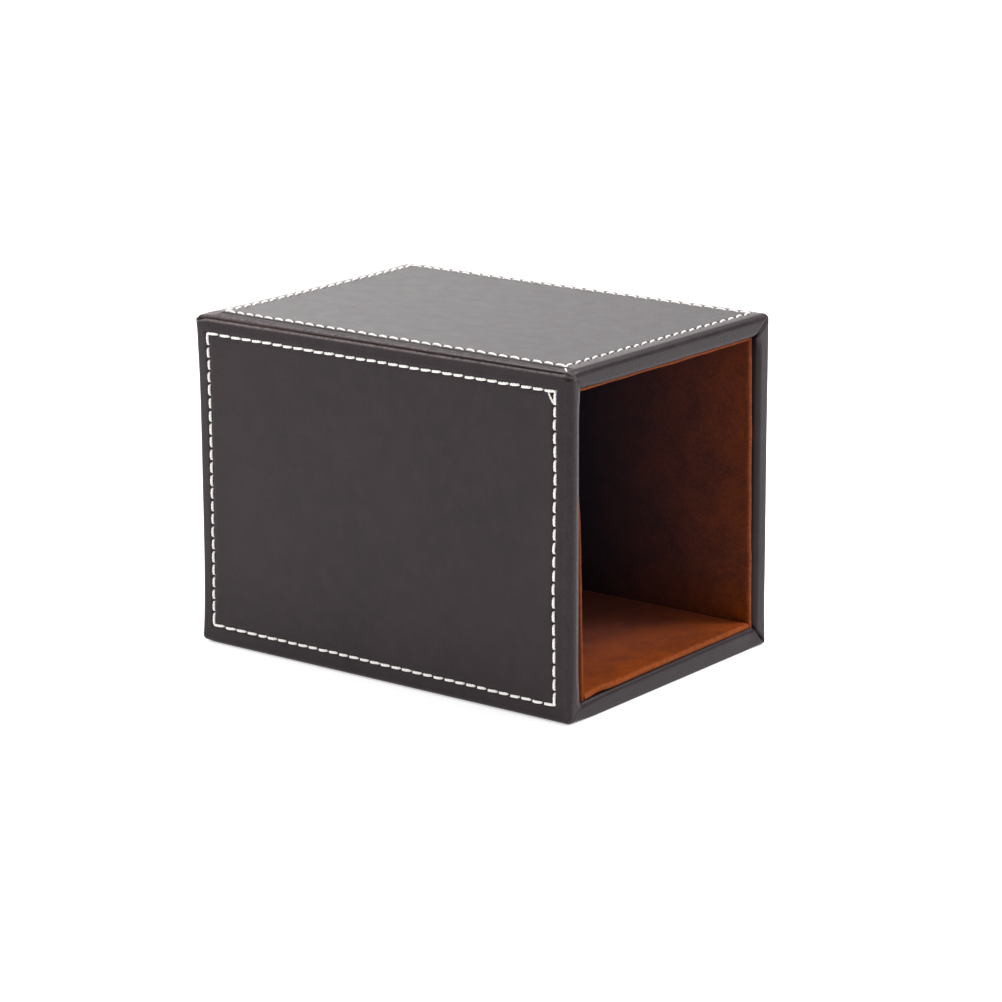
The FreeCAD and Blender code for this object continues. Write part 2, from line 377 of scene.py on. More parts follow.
def warp(side, x, across):
    """The true place on a side of a point given by even rows at ROW_INSET."""
    half = SIDES[side][3]
    base_start, base_end, mouth_start, mouth_end = ROW_CORNERS[side]
    along, around = along_body(x), (across + half) / (2 * half)
    wander = 0.07 * ripple((x, across, 3.0), 21.0) + 0.05 * ripple((x, across, 9.0), 7.0)
    base, mouth, start, end = (
        inset - ROW_INSET + wander
        for inset in (
            mix(base_start[0], base_end[0], around),
            mix(mouth_start[0], mouth_end[0], around) - sway(side, around),
            mix(base_start[1], mouth_start[1], along),
            mix(base_end[1], mouth_end[1], along),
        )
    )
    new_x = x + base * row_shift(x - BASE_X) - mouth * row_shift(MOUTH_X - x)
    return new_x, across + start * row_shift(half + across) - end * row_shift(half - across)


def droop(inset):
    return EDGE_DROOP * fade(inset, 1.3, 4.2)


def undulation(point):
    return 0.03 * ripple(point, 23.0) + 0.014 * ripple(point, 7.0, 5.0)


def row_relief(side, x, across):
    """How the leather is pulled down along the rows of stitches."""
    half = SIDES[side][3]
    total = 0.0
    rows = (
        (x - BASE_X - ROW_INSET, across, half),
        (MOUTH_X - x - ROW_INSET, across, half),
        (half + across - ROW_INSET, x - BODY_MIDDLE, HALF_LENGTH),
        (half - across - ROW_INSET, x - BODY_MIDDLE, HALF_LENGTH),
    )
    for off, along, row_half in rows:
        if abs(off) > 2.0:
            continue
        reach = row_half - ROW_INSET
        count = round(2 * reach / PITCH)
        pitch = 2 * reach / count
        within = bell(max(abs(along) - reach, 0.0), 0.35)
        phase = (along + reach) / pitch
        to_hole = abs(phase - round(phase)) * pitch
        trough = (TROUGH[0] + HOLE_DIP[0] * bell(to_hole, HOLE_DIP[1])) * bell(off, TROUGH[1])
        hole = HOLE[0] * bell(hypot(to_hole, off), HOLE[1])
        swell = SWELL[0] * bell(abs(off) - SWELL_PLACE, SWELL[1])
        total -= within * (trough + hole - swell)
    if side == "top":
        total *= TOP_PULL
        inset, half_width, deep = EDGE_CREASE
        wander = 0.7 + 0.5 * ripple((x, 0.0, 5.0), 9.0)
        total -= deep * wander * bell(half + across - inset, half_width)
    return total


def height(side, x, across):
    """How far the leather stands outside its nominal plane, without the stitches' pull."""
    half = SIDES[side][3]
    inset = min(x - BASE_X, MOUTH_X - x, half + across, half - across)
    return undulation(on_side(side, x, across, 0.0)) * step(inset, 0.0, 3.0) - droop(inset)


# ---- leather ----


def profile():
    """Stations along the leather, from under the base end to inside the mouth."""
    turn = even(0.0, 90.0, FOLD_STEP)
    kinds = {
        "under": (TURN_UNDER, 9.5, 7.0, 5.2, 4.2, 3.4, 2.8, 2.2),
        "base": turn,
        "face": [BODY_MIDDLE + place for place in sorted(set(row_lines(HALF_LENGTH)))],
        "mouth": turn,
        "rim": (0.25, 0.5, 0.75),
        "inner": turn,
        "in": (2.6, 3.3, 5.0, 8.0, TURN_IN),
    }
    return [(kind, value) for kind, values in kinds.items() for value in values]


def fold_radii(side, across):
    """The folds' radii at a place across a side; they change smoothly past the corners."""
    half = SIDES[side][3]
    index = SIDE_NAMES.index(side)
    neighbour = SIDE_NAMES[(index + (1 if across > 0 else -1)) % len(SIDE_NAMES)]
    share = 0.5 + 0.5 * step(half - abs(across), 0.0, 9.0)
    return [mix(there, here, share) for here, there in zip(FOLD_RADII[side], FOLD_RADII[neighbour])]


def profile_point(station, radii):
    """(x, depth, outward normal along x, outward normal along depth) of a station."""
    kind, value = station
    base, mouth, inner = radii
    if kind == "under":
        return BASE_X, value, -1.0, 0.0
    if kind == "face":
        return value, 0.0, 0.0, -1.0
    if kind == "rim":
        return MOUTH_X, mix(mouth, RIM_DEPTH - inner, value), 1.0, 0.0
    if kind == "in":
        return MOUTH_X - value, RIM_DEPTH, 0.0, 1.0
    angle = radians(value)
    if kind == "base":
        nx, nd = -cos(angle), -sin(angle)
        return BASE_X + base * (1 + nx), base * (1 + nd), nx, nd
    if kind == "mouth":
        nx, nd = sin(angle), -cos(angle)
        return MOUTH_X - mouth * (1 - nx), mouth * (1 + nd), nx, nd
    nx, nd = cos(angle), sin(angle)
    return MOUTH_X - inner * (1 - nx), RIM_DEPTH - inner * (1 - nd), nx, nd


# Insets of the leather's mesh lines near a corner, the seam and the hem.
NEAR_CORNER = (1.36, 1.5, 1.75, 2.15)
NEAR_SEAM = (1.15, 1.5, 1.9, 2.3, 2.55, 2.75, 2.9, 3.05)
NEAR_RIDGE = (2.05, 2.25, 2.5)
CORNER_ANGLES = (15, 30, 45, 60, 75)
FOLD_STEP = 11.25  # degrees between the mesh lines round a fold
NOSE_POINTS = 12  # round each folded edge of the seam
# How far the seam's edges are rubbed and lightened by a painted highlight, from their roots
# outwards.
TOP_WEAR_AND_HIGHLIGHT = (0, 0, 0, 0, 0.1125, 0.2625, 0.45, 0.6, 0.675, 0.6, 0.45, 0.225)
HEM_WEAR_AND_HIGHLIGHT = (0, 0, 0, 0.4, 0.9, 1.0, 1.0, 0.8, 0.5, 0.2, 0.05, 0)
# How far the near folds are rubbed and lightened by a painted highlight.
FOLD_WEAR_AND_HIGHLIGHT = {("front", "inner"): 0.25, ("front", "mouth"): 0.05}
NOSE_WEAR_AND_HIGHLIGHT_MOUTH = 0.6  # the seam's edges are rubbed less, and lightened less by the painted highlight, where they turn over the mouth
# How much the top's margins are rubbed and lightened with painted light, outside the stitches: by
# the base and the back, and by the mouth; and the margins' width.
MARGIN_WEAR_AND_LIGHT = (0.8, 0.3)
MARGIN = 3.9


def side_stations(side):
    """Places across a side at which the leather's mesh has lines."""
    half = SIDES[side][3]
    start = NEAR_SEAM if side == "top" else (end_inset(side, True, 0.0), *NEAR_CORNER)
    end = NEAR_RIDGE if side == "front" else (end_inset(side, False, 0.0), *NEAR_CORNER)
    places = [inset - half for inset in start] + [half - inset for inset in end]
    return sorted(set(round(place, 6) for place in places + row_lines(half)))


def corner_radius(side, depth):
    """Radius of the corner at the end of a side; flaps that meet in a mitre meet sharply."""
    radius = CORNER_RADII[side]
    if side == "bottom":
        widening = SOFT_CORNER[0] * step(depth, 0.0, 1.6)
        return radius + widening - SOFT_CORNER[1] * max(depth - 1.6, 0.0)
    return max(radius - depth, MITRE_RADIUS)


def end_inset(side, at_start, depth):
    """Distance from the sharp corner to a side's first or last mesh line."""
    if side == "top" and at_start:
        return NEAR_SEAM[0]
    if side == "front" and not at_start:
        return mix(NEAR_RIDGE[0], NEAR_SEAM[0], step(depth, 0.0, 1.0))
    return corner_radius(SIDE_NAMES[SIDE_NAMES.index(side) - 1] if at_start else side, depth)


def squeeze(side, across, depth):
    """Where a mesh line across a side runs at some depth, so that mitres follow the corners."""
    half = SIDES[side][3]
    low, high = -half + end_inset(side, True, 0.0), half - end_inset(side, False, 0.0)
    start = -half + depth + end_inset(side, True, depth)
    end = half - depth - end_inset(side, False, depth)
    return mix(start, end, (across - low) / (high - low))


# The curl of leather at the seam's end by the mouth, the hollow under it, and the way out of both.
# The curl, the hollow and the dip at the seam's start are each (how high or deep, half-width).
CURL, HOLLOW, START_DIP = (0.3, 0.34), (0.72, 0.5), (0.45, 0.5)
SEAM_CURL = [by_corner(1.5, 0.75, 0.3), by_corner(0.45, 0.95, 0.5), by_corner(0.05, 1.7, 1.5)]
SEAM_HOLLOW = by_corner(0.55, 0.45, 0.95)
SEAM_END_OUT = np.array((0.5, -0.6, 0.62))
SEAM_START = np.array((BASE_X + 2.0, -HALF_WIDTH + 0.45, HEIGHT - 0.8))


def seam_drop(x):
    return mix(SEAM_DROP_BASE, SEAM_DROP_MOUTH, along_body(x)) + 0.04 * ripple((x, 0, 0), 11.0, 2.0)


def nose_offsets(kind, k, x, depth):
    """(p, q, sunk) of a point on one of the seam's two folded edges, from its root outwards.

    p is measured inwards from the front's plane and q down from the top's, both at this depth,
    and sunk is how far the point lies inside the leather's outer surface.
    """
    drop = seam_drop(x)
    shut = step(x, MOUTH_X - SEAM_END - 0.5, MOUTH_X - SEAM_END + 0.4)
    blend = step(depth, 0.0, 1.0)
    share = max(k - len(ROOT_DEPTHS), 0) / (NOSE_POINTS - 1 - len(ROOT_DEPTHS))
    angle = radians(90 * share)
    if kind == "top_nose":
        along = TOP_EDGE_ROUND[0]
        down = mix(*TOP_EDGE_ROUND[1:], along_body(x))
        roots = TOP_ROOTS
        p = HEM_SETBACK + along * (1 - cos(angle))
        q = down * drop * (1 - sin(angle))
        turn = radians(mix(45, 90, share))
    else:
        along, down = HEM_ROUND
        roots = HEM_ROOTS
        p = along * (1 - sin(angle))
        q = drop + down * (1 - cos(angle))
        turn = radians(mix(45, 0, share))
    sunk = 0.0
    if k < len(roots):
        p, q = roots[k][0], drop + roots[k][1]
        sunk = ROOT_DEPTHS[k]
    p = mix(p, CORNER_RADIUS * (1 - cos(turn)) + 0.7 * sunk, shut)
    q = mix(q, CORNER_RADIUS * (1 - sin(turn)) + 0.7 * sunk, shut)
    spread = 0.01 + 0.1 * max(k - 5, 0)
    if kind == "top_nose":
        return mix(p, spread, blend), mix(q, 0.0, blend), sunk * blend
    return p * (1 - blend), mix(q, spread, blend), sunk * blend


def edge_droop(nd):
    """The faces' droop, carried round the arcs until the rim or the base end is reached."""
    return EDGE_DROOP * nd * nd if nd < 0 else 0.0


def seam_end_relief(point):
    """The top's leather curls over a small hollow where the seam ends at the mouth."""
    to_start = apart(point, SEAM_START)
    if to_start < 3.0:
        return -START_DIP[0] * bell(to_start, START_DIP[1])
    if np.abs(point - SEAM_CURL[1]).max() > 4.0:
        return 0.0
    to_curl = []
    for start, end in zip(SEAM_CURL, SEAM_CURL[1:]):
        run = end - start
        t = clip(float((point - start) @ run / (run @ run)))
        to_curl.append(apart(point, start + t * run))
    to_hollow = apart(point, SEAM_HOLLOW)
    return CURL[0] * bell(min(to_curl), CURL[1]) - HOLLOW[0] * bell(to_hollow, HOLLOW[1])


def nose_point(kind, k, station):
    x, depth, nx, nd = profile_point(station, fold_radii("front", HEIGHT / 2))
    p, q, sunk = nose_offsets(kind, k, x, depth)
    blend = step(depth, 0.0, 1.0)
    root = sqrt(0.5)
    normal = np.array((nx, mix(nd, nd * root, blend), mix(0.0, -nd * root, blend)))
    normal /= max(np.linalg.norm(normal), 1e-9)
    point = np.array((x, -HALF_WIDTH + depth + p, HEIGHT - depth - q)) - sunk * normal
    if k > 1:
        point = point + seam_end_relief(point) * SEAM_END_OUT
    point = bulge(point - edge_droop(nd) * np.array((nx, nd, -nd)))
    return settle_rim(point, depth)


def mitre_relief(side, point, to_corner, depth):
    """Relief of the flaps that meet at the corners of the rim, the turn-in and the base end."""
    if point[0] < 0:
        slit, width, lap, gape = BASE_MITRE
    else:
        corner = (1 if point[1] > 0 else -1, 1 if point[2] > HEIGHT / 2 else -1)
        slit, width, lap, gape = RIM_MITRES[corner]
    cut = (slit + gape * bell(depth - GAPE_DEPTH, GAPE_SPREAD)) * bell(to_corner, width)
    rise = 0.0
    if side in ("top", "bottom"):
        rise = lap * exp(-to_corner / LAP_LENGTH) * (1 - bell(to_corner, LAP_SHOULDER))
    return step(depth, 0.5, 1.1) * (rise - cut)


def settle(point, corners, share=1.0):
    """Move a point with the opening's corners, which aren't quite square to the body."""
    reach = step(point[0], MOUTH_X - SETTLE_LENGTH, MOUTH_X - 1.0) * share
    if reach <= 0:
        return point
    v = clip((point[1] / OPENING_HALF + 1) / 2)
    w = clip(((point[2] - HEIGHT / 2) / OPENING_HALF + 1) / 2)
    near, far = (mix(np.array(corners[(y, -1)]), np.array(corners[(y, 1)]), w) for y in (-1, 1))
    return point + reach * np.array((0.0, *mix(near, far, v)))


def settle_rim(point, depth):
    inside = step(depth, 1.8, RIM_DEPTH - 0.9)
    return settle(point, RIM_SETTLE, inside) if point[0] > 0 else point


def bulge(point):
    """Slow departures of the covered body from a true box."""
    x, y, z = point
    from_base, from_front, from_back = x - BASE_X, HALF_WIDTH + y, HALF_WIDTH - y
    base_fall = BASE_FALL * fade(from_base, *BASE_MARGIN)
    back_fall = BACK_FALL * fade(from_back, *BACK_MARGIN) * mix(1.0, 0.1, step(x, -25.0, 40.0))
    front_fall = FRONT_FALL * fade(from_front, *FRONT_MARGIN)
    near_edge = fade(from_front, 0.0, 7.0)
    fall = 1 - (1 - base_fall) * (1 - back_fall) * (1 - front_fall)
    fall += CORNER_FALL * near_edge * fade(from_base, 0.0, 2.4)
    fall *= step(z, HEIGHT - 5.0, HEIGHT - 1.0)
    lift = CORNER_LIFT * near_edge * fade(from_base, 0.0, 4.0) * fade(z, 0.0, 3.0)
    foot = step(y, 30.0, 37.0) * fade(z, 15.0, 55.0) * step(x, 20.0, 48.0)
    up, over = (z - HEIGHT / 2) / (HEIGHT / 2), y / HALF_WIDTH
    corner = (up * over) ** 4
    all_over, upper, lower, tips = FLARES
    flare = all_over + (upper if up > 0 else lower) * corner + tips * corner**4
    flare *= fade(from_base, 0.0, 9.0)
    return point + np.array((FOOT_OUT * foot - flare, -FOOT_IN * foot, lift - fall))


def skin_point(station, section, outer):
    """A finished point of the leather, on its outer or its inner surface."""
    kind, side, value = section
    half = SIDES[side][3]
    x, depth, nx, nd = profile_point(station, fold_radii(side, value if kind == "line" else half))
    if not outer:
        x, depth = x - LEATHER * nx, depth - LEATHER * nd
    if kind == "line":
        across = squeeze(side, value, depth)
        point = on_side(side, x, across, depth)
        out = side_normal(side)
        to_corner = half - depth - abs(across)
    else:
        radius = corner_radius(side, depth)
        angle = radians(value)
        centre = on_side(side, x, half - depth - radius, depth + radius)
        out = side_normal(side) * cos(angle) + side_heading(side) * sin(angle)
        point = centre + radius * out
        to_corner = radius * abs(value - 45) / 45 * 0.6
    if outer:
        normal = np.array((nx, 0.0, 0.0)) - nd * out
        lift = -edge_droop(nd)
        if depth > 0:
            lift += 0.5 * undulation(point) * step(depth, 0.0, 2.0)
            lift += mitre_relief(side, point, to_corner, depth)
        point = point + lift * normal + seam_end_relief(point) * SEAM_END_OUT
        point = point + far_flap(point, to_corner, depth)
    point = bulge(point)
    return settle_rim(point, depth)


def far_flap(point, to_corner, depth):
    """At the rim's far top corner the flaps meet off the mitre, nearer the opening's middle."""
    if point[0] < MOUTH_X - 2.0 or point[1] < 0 or point[2] < HEIGHT / 2:
        return np.zeros(3)
    near = bell(to_corner, 1.8) * step(point[0], MOUTH_X - 1.3, MOUTH_X - 0.3)
    near *= step(depth, 0.7, 1.6)
    return np.array((0.0, -FAR_FLAP_SLANT * max(depth - 0.5, 0.0) * near, 0.0))


def margin_wear_and_light(x, across):
    """How much the top is rubbed and lightened with painted light outside the stitches on its three
    open edges.
    """
    if x < BASE_X + MARGIN or HALF_WIDTH - across < MARGIN:
        return MARGIN_WEAR_AND_LIGHT[0]
    return MARGIN_WEAR_AND_LIGHT[1] if x > MOUTH_X - MARGIN else 0.0


def leather_sections():
    """The lines and the corners' arcs round the leather's section, from the seam back to it."""
    sections = []
    for side in SIDES:
        sections += [("line", side, across) for across in side_stations(side)]
        if side != "front":
            sections += [("corner", side, angle) for angle in CORNER_ANGLES]
    return sections


def leather_jacket():
    """The leather as one closed skin, swept round the section and along the profile.

    The attribute "wear_and_highlight" says how far its finish is rubbed and lightened by a painted
    highlight: along the seam's folded edges, in the top's margins and on the near folds. "matt" is 1
    in the creased margin beside the seam.
    """
    sections = leather_sections()
    bm = bmesh.new()
    finished = bm.verts.layers.int.new("finished")
    wear_and_highlight = bm.verts.layers.float.new("wear_and_highlight")
    matt = bm.verts.layers.float.new("matt")

    def add(point, done=True, worn_and_lit=0.0, dull=0.0):
        vert = bm.verts.new(point)
        vert[finished] = int(done)
        vert[wear_and_highlight] = worn_and_lit
        vert[matt] = dull
        return vert

    outer, inner = [], []
    for station in profile():
        kind, value = station
        on_plane = kind == "face" or station in (("base", 90.0), ("mouth", 0.0))
        rubbed_and_lit = NOSE_WEAR_AND_HIGHLIGHT_MOUTH if kind == "mouth" else 0.0
        if kind == "face":
            rubbed_and_lit = mix(1.0, 0.75, along_body(value))
        start = [
            add(nose_point("top_nose", k, station), True, rubbed_and_lit * worn_and_lit, 1.0)
            for k, worn_and_lit in enumerate(TOP_WEAR_AND_HIGHLIGHT)
        ]
        middle = []
        for section in sections:
            form, side, across = section
            if on_plane and form == "line":
                x = profile_point(station, fold_radii(side, across))[0]
                worn_and_lit = margin_wear_and_light(x, across) if side == "top" else 0.0
                dull = float(side == "top" and HALF_WIDTH + across < CREASED)
                middle.append(add(on_side(side, x, across, 0.0), False, worn_and_lit, dull))
            else:
                worn_and_lit = FOLD_WEAR_AND_HIGHLIGHT.get((side, kind), 0.0)
                middle.append(add(skin_point(station, section, True), worn_and_lit=worn_and_lit))
        end = [
            add(nose_point("front_nose", k, station), worn_and_lit=rubbed_and_lit * HEM_WEAR_AND_HIGHLIGHT[k])
            for k in reversed(range(NOSE_POINTS))
        ]
        outer.append(start + middle + end)
        backing = [add(skin_point(station, section, False)) for section in sections]
        inner.append([start[0]] + backing + [end[-1]])
    fill_grid(bm, outer)
    fill_grid(bm, inner)
    first, last = NOSE_POINTS, NOSE_POINTS + len(sections) - 1
    for i in (0, -1):
        face_row, back_row = outer[i], inner[i]
        fill_grid(bm, (face_row[first : last + 1], back_row[1:-1]))
        bm.faces.new(face_row[: first + 1] + [back_row[1]])
        bm.faces.new(face_row[last:] + [back_row[-2]])
    subdivide_rows(bm, finished)
    for vert in bm.verts:
        if not vert[finished]:
            vert.co = face_point(vert.co)
    return finish_mesh("leather_skin", bm)


def which_side(point):
    for side in SIDES:
        normal, heading, reach, _ = SIDES[side]
        y, z = point[1], point[2] - HEIGHT / 2
        if abs(normal[0] * y + normal[1] * z - reach) < 1e-3:
            return side, heading[0] * y + heading[1] * z
    raise ValueError("a point of the leather is on no side")


def face_point(flat):
    """The finished place of a point given on a side's nominal plane."""
    side, across = which_side(flat)
    x, new_across = warp(side, flat[0], across)
    lift = height(side, flat[0], across) + row_relief(side, flat[0], across)
    return bulge(on_side(side, x, new_across, -lift))


def subdivide_rows(bm, finished):
    """Divide the mesh along the rows finely enough for the holes between stitches."""
    chosen = []
    for edge in bm.edges:
        a, b = edge.verts
        if a[finished] or b[finished] or edge.calc_length() < 1.1:
            continue
        side, across_a = which_side(a.co)
        across_b = which_side(b.co)[1]
        if abs(across_a - across_b) < 1e-3:
            inset = SIDES[side][3] - abs(across_a)
        else:
            inset = HALF_LENGTH - abs(a.co.x - BODY_MIDDLE)
        if abs(inset - ROW_INSET) < FINE_BAND:
            chosen.append(edge)
    bmesh.ops.subdivide_edges(bm, edges=chosen, cuts=STITCH_CUTS)


# ---- thread ----


def thread_point(side, x, across):
    """Where a row's point lies on the leather."""
    true_x, true_across = warp(side, x, across)
    return bulge(on_side(side, true_x, true_across, -height(side, x, across)))


def add_thread(bm, start, end, out, rng, proud, radius=THREAD):
    """One stitch: plies twisted round a line that rises out of one hole and into the next."""
    run = end - start
    length = np.linalg.norm(run)
    aside = np.cross(out, run / length)
    twist_start = rng.uniform(0, tau)
    crest = proud - radius + rng.uniform(-0.04, 0.04)
    lean = rng.uniform(-0.05, 0.05)
    bow = rng.uniform(-0.04, 0.04)
    for ply in range(PLIES):
        loops = []
        for t in even(0.0, 1.0, 1 / (THREAD_RINGS - 1)):
            arch = max(sin(pi * clip(t + lean * sin(pi * t))), 0.0)
            rise = mix(-STITCH_ROOT, crest, arch**0.25)
            girth = radius * mix(0.7, 1.0, arch**0.35)
            angle = twist_start + tau * (t * length / TWIST_PITCH + ply / PLIES)
            offset = PLY_OFFSET * girth * (aside * cos(angle) + out * sin(angle))
            centre = start + run * t + out * rise + aside * bow * arch + offset
            loop = []
            for j in range(PLY_SIDES):
                turn = tau * j / PLY_SIDES
                around = aside * cos(turn) + out * sin(turn)
                loop.append(bm.verts.new(centre + PLY_GIRTH * girth * around))
            loops.append(loop)
        fill_tube(bm, loops)


# The thread's cut end, pressed down from the near corner of the mouth's row into the seam.
THREAD_TAIL = (by_corner(3.7, 3.2, 0.25), by_corner(1.7, 1.1, 0.45))


def side_holes(side):
    """The holes of a side's four rows, in order, each row with both of its corners."""
    half = SIDES[side][3]
    across = hole_places(half)
    low, high = across[0], across[-1]
    base, mouth = LONG_HOLES[0], LONG_HOLES[-1]
    return [
        [(x, low) for x in LONG_HOLES],
        [(mouth, c) for c in across],
        [(x, high) for x in reversed(LONG_HOLES)],
        [(base, c) for c in reversed(across)],
    ]


def stitching(side, material):
    rng = random.Random(SEED + SIDE_NAMES.index(side))
    out = side_normal(side)
    proud = 0.0 if side == "bottom" else PROUD
    bm = bmesh.new()
    rows = side_holes(side)
    for row, slant_share in zip(rows, SLANTS[side]):
        places = [thread_point(side, *hole) for hole in row]
        wider, radius = 0.0, THREAD
        if side == "top" and row is rows[1]:
            wider, radius = TOP_MOUTH_GAP, TOP_MOUTH_THREAD
        for i, (start, end) in enumerate(zip(places, places[1:])):
            jitter = np.array([rng.uniform(-0.05, 0.05) for _ in range(3)])
            run = (end - start) / np.linalg.norm(end - start)
            gap = rng.uniform(*STITCH_GAP) + wider
            first = -CORNER_REACH if i == 0 else gap
            last = -CORNER_REACH if i == len(places) - 2 else gap
            slant = np.cross(out, run) * slant_share
            begin, finish = start + run * first + jitter, end - run * last + jitter
            add_thread(bm, begin + slant, finish - slant, out, rng, proud, radius)
    if side == "front":
        # A short thread crosses the corner between the mouth's row and the upper one.
        mouth_row, high_row = rows[1:3]
        corner, before = thread_point(side, *high_row[0]), thread_point(side, *high_row[1])
        end = thread_point(side, *mouth_row[-2])
        add_thread(bm, mix(corner, before, 0.6), end, out, rng, proud - 0.08, radius=0.24)
    if side == "top":
        add_thread(bm, *THREAD_TAIL, np.array((0.0, -0.3, 0.95)), rng, 0.26, radius=0.26)
    dress(finish_mesh(side + "_thread", bm), material, side + "_face_stitching")


# ---- suede ----


def close_in(low, high, spacing):
    """Even places with a few more beside both ends, for soft edges."""
    edge = (0.0, 0.12, 0.3, 0.6, 1.1)
    middle = even(low + 2.0, high - 2.0, spacing)
    return [low + e for e in edge] + middle + [high - e for e in reversed(edge)]


def lining_profile():
    """The suede's outline in (x, depth), its face first, then the mouth edge and the back."""
    face, back, edge = LINING_DEPTH, RIM_DEPTH, LINING_MOUTH_X
    radius = (face - back) / 2
    points = [(x, face) for x in even(WELL_BASE_X, edge - 6.0, LINING_STEP)]
    points += [(edge - inset, face) for inset in (4.6, 3.4, 2.4, 1.7, 1.2)]
    for i in range(9):
        angle = radians(90 - 180 * i / 8)
        x, depth = edge - radius * (1 - cos(angle)), face - radius * (1 - sin(angle))
        points.append((x, depth))
    points += [(x, back) for x in reversed(even(edge - TURN_BACK, CARD_EDGE_X, LINING_STEP))]
    points += [(x, back + SUEDE) for x in even(edge - TURN_BACK, CARD_EDGE_X + 0.5, LINING_STEP)]
    points += [(edge - SUEDE, back + SUEDE + 0.05), (edge - SUEDE, face - SUEDE)]
    points += [(x, face - SUEDE) for x in reversed(even(WELL_BASE_X, CARD_EDGE_X, LINING_STEP))]
    return points


def lining_shift(side, point, across, half, depth):
    """How a lining and its card lie out of true near the mouth."""
    near_mouth = step(point[0], LINING_MOUTH_X - 8.0, LINING_MOUTH_X)
    share = clip((depth - RIM_DEPTH) / (LINING_DEPTH - RIM_DEPTH))
    stand_out = float(np.interp(across / half, (-1, 0, 1), LINING_REACH[side]))
    inwards = (1 - share) * LINING_GAP[side] - share * LINING_PRESS[side]
    if side == "bottom":
        place, half_width, high = FLOOR_CREASE
        inwards += near_mouth * high * bell(point[1] - place, half_width)
    shift = settle(point, LINING_SETTLE) - point
    return shift + near_mouth * (np.array((stand_out, 0.0, 0.0)) - inwards * side_normal(side))


def half_span(low, high, side):
    axis = 1 if side in ("top", "bottom") else 2
    return (high[axis] - low[axis]) / 2


def lining(side, material):
    """A wall's suede: drawn over its card's face and mouth edge, and folded on to its back."""
    half = half_span(*box_mm(side + "_lining_suede"), side)
    outline = lining_profile()
    inward = -side_normal(side)
    seed = 3.0 * SIDE_NAMES.index(side)
    bm = bmesh.new()
    wear_and_highlight = bm.verts.layers.float.new("wear_and_highlight")
    rows = []
    for across in close_in(-half, half, LINING_STEP):
        edge = -0.3 * exp((abs(across) - half) / 0.35)
        row = []
        for x, depth in outline:
            point = on_side(side, x, across, depth)
            shift = lining_shift(side, point, across, half, depth)
            if depth > LINING_DEPTH - SUEDE + 0.01 or x > LINING_MOUTH_X - SUEDE:
                near_mouth = step(x, LINING_MOUTH_X - 7.0, LINING_MOUTH_X)
                soft = 0.09 * ripple(point, 16.0, seed) + 0.04 * ripple(point, 4.5, seed)
                share = (depth - RIM_DEPTH) / (LINING_DEPTH - RIM_DEPTH)
                lift = (soft + edge) * share + 0.1 * near_mouth * ripple((across, 7.0, seed), 6.0)
                wavy = 0.11 * ripple((across, seed, 0.0), 8.0)
                wavy += 0.06 * ripple((across, seed, 4.0), 2.6)
                point = point + lift * inward + np.array((near_mouth * wavy, 0.0, 0.0))
            vert = bm.verts.new(point + shift)
            vert[wear_and_highlight] = fade(LINING_MOUTH_X - x, 0.1, 0.5)
            row.append(vert)
        rows.append(row)
    fill_tube(bm, rows)
    obj = finish_mesh(side + "_lining", bm)
    return dress(obj, material, side + "_lining_suede")


def lining_card(side, material):
    """The card inside a lining, bent with it."""
    low, high = box_mm(side + "_lining_card")
    half = half_span(low, high, side)
    lines, rungs = even(-half, half, LINING_STEP), even(low[0], high[0], LINING_STEP)
    bm = bmesh.new()

    def face(depth):
        def place(across, x):
            point = on_side(side, x, across, depth)
            return point + lining_shift(side, point, across, half, depth)

        return lattice(bm, lines, rungs, place)

    bridge_edges(bm, face(RIM_DEPTH + SUEDE), face(LINING_DEPTH - SUEDE))
    obj = finish_mesh(side + "_card", bm)
    return dress(obj, material, side + "_lining_card")


def bridge_edges(bm, front, rear):
    """Close the rim between two equal grids of vertices."""
    for a in (0, -1):
        for j in range(len(front[0]) - 1):
            bm.faces.new((front[a][j], front[a][j + 1], rear[a][j + 1], rear[a][j]))
        for i in range(len(front) - 1):
            bm.faces.new((front[i][a], front[i + 1][a], rear[i + 1][a], rear[i][a]))


def soft_plate(name, node, shown, seed):
    """A thin pad across X, with its shown face (-1 or 1 along X) soft and its edges rounded."""
    (x_low, _, z_low), (x_high, y_half, z_high) = box_mm(node)
    lines, rungs = close_in(-y_half, y_half, 2.6), close_in(z_low, z_high, 2.6)
    bm = bmesh.new()

    def face(x, soft):
        def place(y, z):
            to_y, to_z = y_half - abs(y), min(z - z_low, z_high - z)
            inset = min(to_y, to_z)
            fall = 0.55 * (x_high - x_low) * bell(inset, 0.3) if soft else 0.0
            wave = 0.04 * ripple((x, y, z), 9.0, seed) if soft and inset > 0 else 0.0
            ragged = 0.1 * ripple((y, z, 2.0), 5.0, seed) * exp(-inset)
            dy = -copysign(ragged, y) if to_y < 2 else 0.0
            dz = -copysign(ragged, z - HEIGHT / 2) if to_z < 2 else 0.0
            return x + shown * (wave - fall), y + dy, z + dz

        return lattice(bm, lines, rungs, place)

    face_x, back_x = (x_high, x_low) if shown > 0 else (x_low, x_high)
    bridge_edges(bm, face(face_x, True), face(back_x, False))
    return finish_mesh(name, bm, sharp=70.0)


# ---- materials ----


